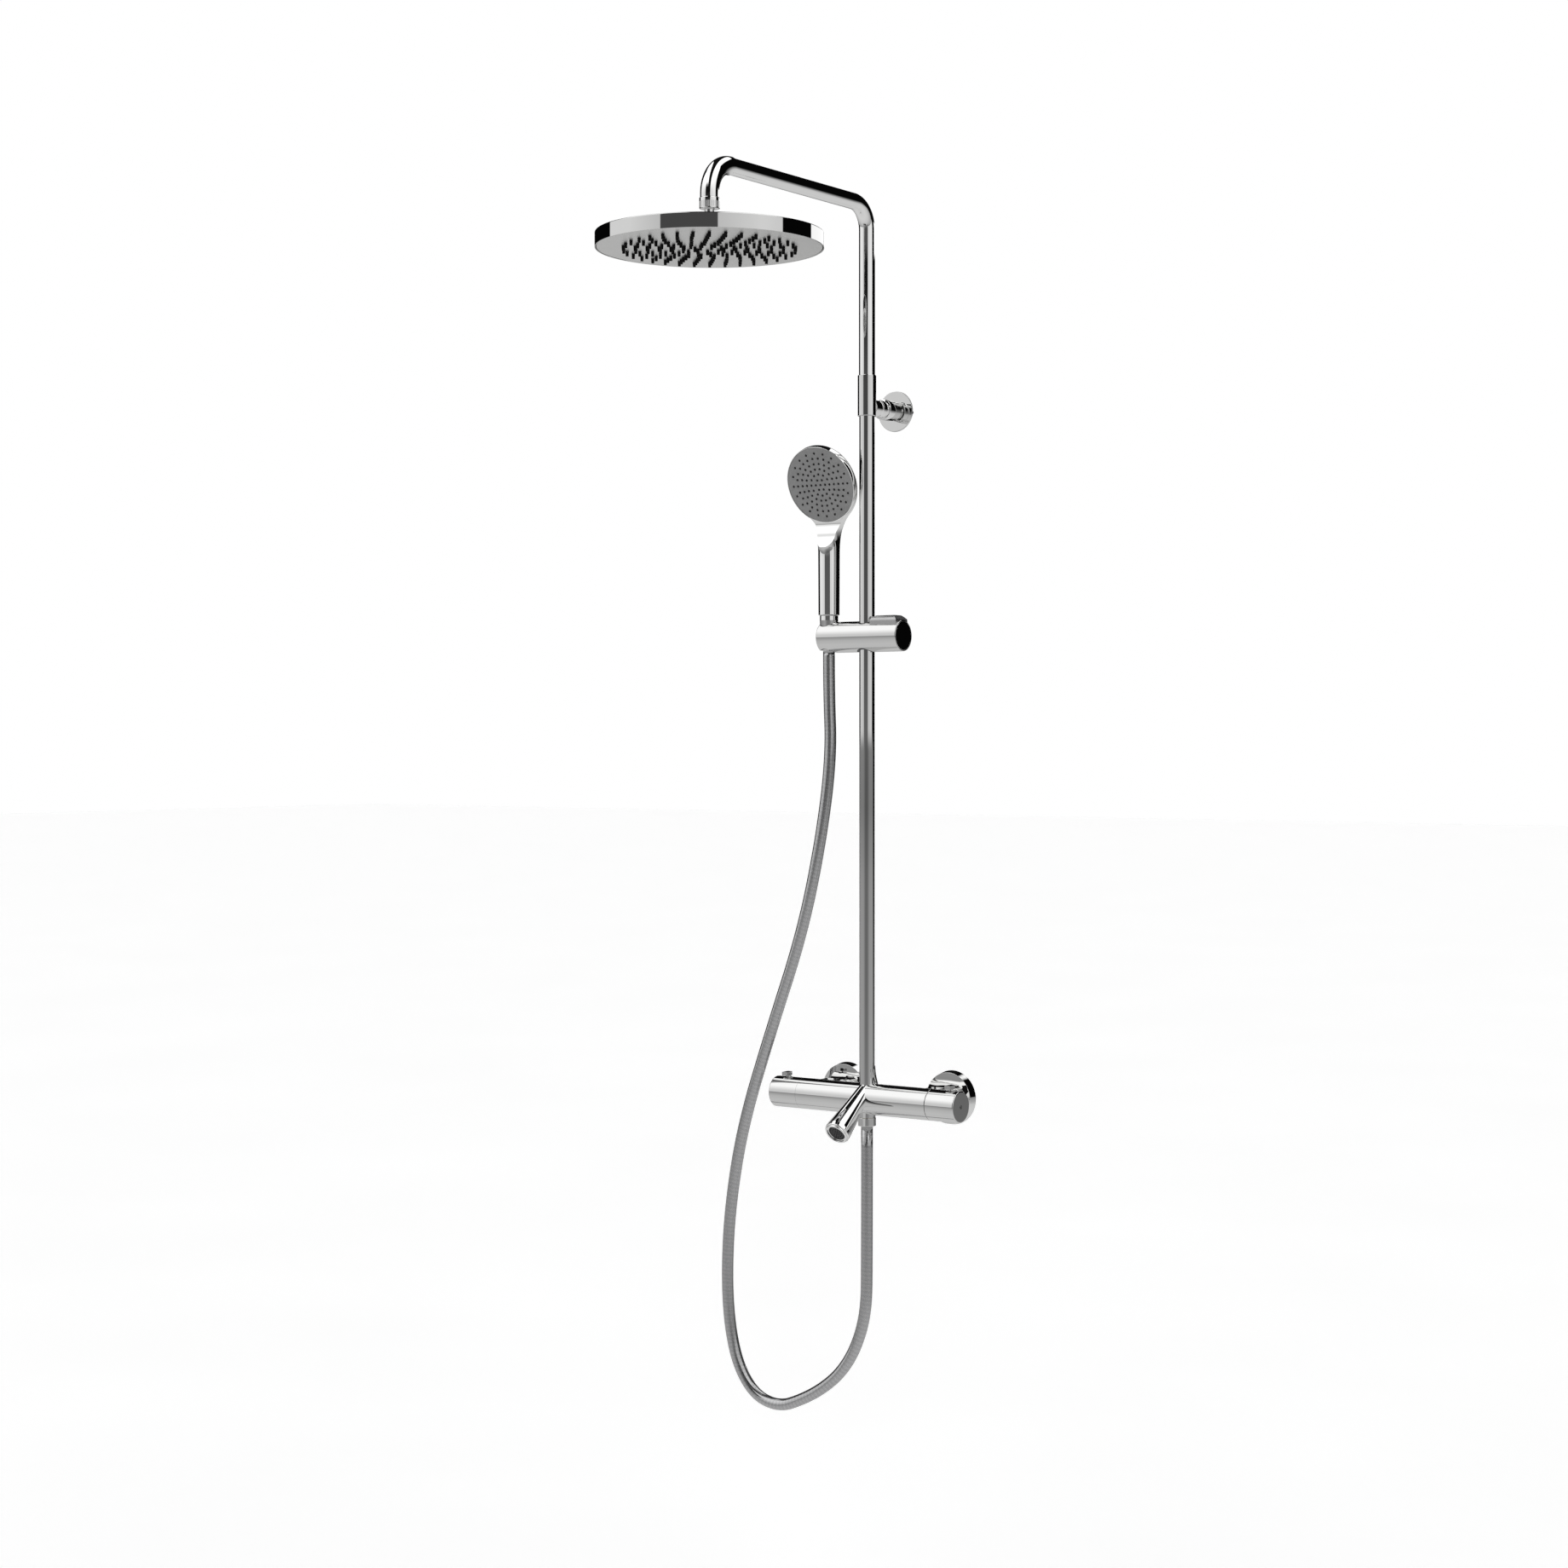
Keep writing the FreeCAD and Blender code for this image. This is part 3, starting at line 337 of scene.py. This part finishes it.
def skin(name):
    zs = [572.0, 572.05, 572.2, 572.4, 572.6, 572.7, 573.5, 580, 590, 600, 610, 620, 630, 640, 648, 652, 652.75]
    zs += [652.8 + 14.7 * q for q in (0.002, 0.008, 0.02, 0.035, 0.06, 0.09, 0.13, 0.18, 0.24, 0.3, 0.37, 0.44, 0.52, 0.6, 0.68, 0.76, 0.84, 0.92, 1.0)]
    zl = HZ - 46.6 * RT
    zs += [667.5 + (zl - 667.5) * q / 14 for q in range(1, 15)]
    zs += [HZ + RT * 46.4 * math.sin(a) for a in np.linspace(math.asin(-46.35 / 46.4), math.asin(45.8 / 46.4), 76)]
    zs += [HZ + RT * 45.88]
    NF, NS, NB = 14, 12, 36
    rows, crease, za_top = [], set(), HZ - 30.0 * RT
    for z in zs:
        half, mid, front, back, cut, face, w = skin_section(z)
        q = (mid - cut) / front
        b = math.asin(min(1.0, max(0.0, q))) if q < 1 else math.pi / 2
        c = half * math.cos(b)
        edge = mid - front * math.sin(b)
        ring = math.sqrt(max(0.0, 45.7 ** 2 - w * w))
        ring = min(ring, c)
        floor_y = face + 2.9 if ring > 0 else edge
        row = []
        for i in range(NF + 1):                   # crease to ring, then the recess behind the spray face
            u = c + (ring - c) * i / NF
            row.append((u, edge))
        for i in range(1, 7):
            row.append((ring * (1 - (i - 1) / 6), floor_y))
        row += [(-u, y) for u, y in row[::-1]]
        for i in range(1, NS + 1):                # left flank from the crease to the widest point
            a = b * (1 - i / NS)
            row.append((-half * math.cos(a), mid - front * math.sin(a)))
        for i in range(1, NB):                    # back
            a = math.pi * i / NB
            row.append((-half * math.cos(a), mid + back * math.sin(a)))
        for i in range(0, NS):
            a = b * i / NS
            row.append((half * math.cos(a), mid - front * math.sin(a)))
        if z > 652.8 and z < za_top:
            for u in (c, -c):
                crease.add((round(HX + u, 3), round(HY + edge, 3), round(z, 3)))
        rows.append([((HX + u) / 1000, (HY + y) / 1000, z / 1000) for u, y in row])
    n = len(rows[0])
    verts = [v for r in rows for v in r]
    faces = [(i * n + j, i * n + (j + 1) % n, (i + 1) * n + (j + 1) % n, (i + 1) * n + j) for i in range(len(rows) - 1) for j in range(n)]
    # bottom lip of the grip and the bore above it
    base = len(verts)
    for r, z in ((10.9, 572.0), (10.7, 572.2), (10.7, 576.0)):
        for j in range(n):
            x, y, _ = rows[0][j]
            a = math.atan2(y * 1000 - HY, x * 1000 - HX)
            verts.append(((HX + r * math.cos(a)) / 1000, (HY + r * math.sin(a)) / 1000, z / 1000))
    for j in range(n):
        k = (j + 1) % n
        faces.append((k, j, base + j, base + k))
        faces.append((base + k, base + j, base + n + j, base + n + k))
        faces.append((base + n + k, base + n + j, base + 2 * n + j, base + 2 * n + k))
    faces.append(tuple(len(verts) - n + j for j in range(n)))
    faces.append(tuple((len(rows) - 1) * n + j for j in range(n)))
    # bright rim round the spray face
    prof = [(45.95, 1.6), (45.95, -0.1), (46.1, -0.5), (46.35, -0.6), (46.55, -0.5), (46.7, -0.2), (46.8, 0.6), (47.2, 5.6), (47.13, 6.4), (46.93, 7.2), (46.6, 7.9), (46.15, 8.5), (45.6, 9.0), (44.9, 9.4)]
    seg = 256
    base = len(verts)
    up = Vector((0, -math.sin(TILT), math.cos(TILT)))
    bk = Vector((0, math.cos(TILT), math.sin(TILT)))
    ctr = Vector((HX, HY - 17.9, HZ))
    for r, d in prof:
        for j in range(seg):
            a = 2 * math.pi * j / seg
            v = ctr + Vector((r * math.cos(a), 0, 0)) + up * (r * math.sin(a)) + bk * d
            verts.append(tuple(v / 1000))
    for i in range(len(prof) - 1):
        for j in range(seg):
            k = (j + 1) % seg
            faces.append((base + i * seg + j, base + i * seg + k, base + (i + 1) * seg + k, base + (i + 1) * seg + j))
    me = bpy.data.meshes.new(name)
    me.from_pydata(verts, [], faces)
    bm = bmesh.new()
    bm.from_mesh(me)
    bmesh.ops.remove_doubles(bm, verts=bm.verts, dist=2e-6)
    bmesh.ops.dissolve_degenerate(bm, dist=1e-6, edges=bm.edges)
    bmesh.ops.recalc_face_normals(bm, faces=bm.faces)
    for e in bm.edges:
        on = all(tuple(round(q * 1000, 3) for q in v.co) in crease for v in e.verts)
        e.smooth = not (on or (len(e.link_faces) == 2 and e.calc_face_angle(0) > math.radians(14)))
    for q in bm.faces:
        q.smooth = True
    bm.to_mesh(me)
    bm.free()
    ob = bpy.data.objects.new(name, me)
    scene.collection.objects.link(ob)
    return ob


shell = skin("hand_shower_skin")
# the skin takes the brighter chrome copy, a painted brighter reflection
shell.data.materials.append(CHROME_BRIGHT)
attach(shell, "hand_shower")
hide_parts("hand_shower_shell")

# ------------------------------------------------------------------ hose
HOSE = [(-53.5, -1.5, 530.0), (-53.5, -1.5, 479.8), (-49.4, -2.5, 404.7), (-59.9, -8.4, 306.2),
        (-84.6, -12.4, 193.2), (-130.2, -14.7, 71.2), (-169.7, -16.5, -42.0), (-188.3, -17.2, -140.3),
        (-193.3, -17.7, -221.1), (-190.4, -16.5, -284.8), (-180.1, -12.8, -335.5), (-156.5, -10.0, -369.3),
        (-121.5, -8.0, -378.8), (-89.4, -6.4, -366.1), (-60.1, -5.2, -349.1), (-34.3, -3.8, -327.0),
        (-14.6, -1.9, -296.6), (-1.4, -0.1, -253.9), (0.0, 0.0, -199.1), (0.0, 0.0, -31.7)]
HOSE = [Vector((x / 1000, AX_Y + y / 1000, z / 1000)) for x, y, z in HOSE][::-1]


def spline_points(pts, res=12):
    cu = bpy.data.curves.new("route", "CURVE")
    cu.dimensions = "3D"
    sp = cu.splines.new("NURBS")
    sp.points.add(len(pts) - 1)
    for p, q in zip(sp.points, pts):
        p.co = (*q, 1)
    sp.order_u = 3
    sp.use_endpoint_u = True
    sp.resolution_u = res
    ob = bpy.data.objects.new("route", cu)
    scene.collection.objects.link(ob)
    bpy.context.view_layer.update()
    me = bpy.data.meshes.new_from_object(ob)
    out = [v.co.copy() for v in me.vertices]
    bpy.data.objects.remove(ob)
    bpy.data.curves.remove(cu)
    bpy.data.meshes.remove(me)
    return out


def tube(name, path, radius, seg=40):
    """Mesh tube along path with capped ends and a UV that runs along it."""
    n = len(path)
    tang = [(path[min(i + 1, n - 1)] - path[max(i - 1, 0)]).normalized() for i in range(n)]
    u = tang[0].orthogonal().normalized()
    verts, dist = [], [0.0]
    for i in range(1, n):
        dist.append(dist[-1] + (path[i] - path[i - 1]).length)
    for i in range(n):
        u = (u - tang[i] * u.dot(tang[i])).normalized()
        w = tang[i].cross(u)
        for k in range(seg):
            a = 2 * math.pi * k / seg
            verts.append(path[i] + (u * math.cos(a) + w * math.sin(a)) * radius)
    faces = [(i * seg + k, i * seg + (k + 1) % seg, (i + 1) * seg + (k + 1) % seg, (i + 1) * seg + k) for i in range(n - 1) for k in range(seg)]
    faces += [tuple(range(seg))[::-1], tuple((n - 1) * seg + k for k in range(seg))]
    me = bpy.data.meshes.new(name)
    me.from_pydata([tuple(v) for v in verts], [], faces)
    uv = me.uv_layers.new(name="UVMap")
    for p in me.polygons:
        for li, vi in zip(p.loop_indices, p.vertices):
            r, k = divmod(vi, seg)
            if k == 0 and len(p.vertices) == 4 and any(v % seg == seg - 1 for v in p.vertices):
                k = seg
            uv.data[li].uv = (k / seg, dist[r] / (2 * math.pi * radius))
    for p in me.polygons:
        p.use_smooth = len(p.vertices) == 4
    ob = bpy.data.objects.new(name, me)
    scene.collection.objects.link(ob)
    return ob


route = spline_points(HOSE)
hose = tube("hose", route, 0.007)
m, nt, b = new_material("hose_silver")
b.inputs["Metallic"].default_value = 0.85
b.inputs["Coat Weight"].default_value = 0.35
b.inputs["Coat Roughness"].default_value = 0.12
uvn = nt.nodes.new("ShaderNodeUVMap")
sx = nt.nodes.new("ShaderNodeSeparateXYZ")
nt.links.new(uvn.outputs["UV"], sx.inputs[0])
ph = math_node(nt, "ADD", math_node(nt, "MULTIPLY", sx.outputs[1], 9.0), sx.outputs[0])
rib = math_node(nt, "SINE", math_node(nt, "MULTIPLY", ph, 2 * math.pi))
colour_by(nt, b, smooth(nt, rib, -1, 1), (0.455, 0.455, 0.46), (0.50, 0.50, 0.505))
rough_by(nt, b, noise(nt, 60.0, 2.0), 0.11, 0.16)
hose.data.materials.append(m)
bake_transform(hose)
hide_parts("shower_hose")
length = sum((route[i + 1] - route[i]).length for i in range(len(route) - 1))
print("HOSE", round(length, 4))
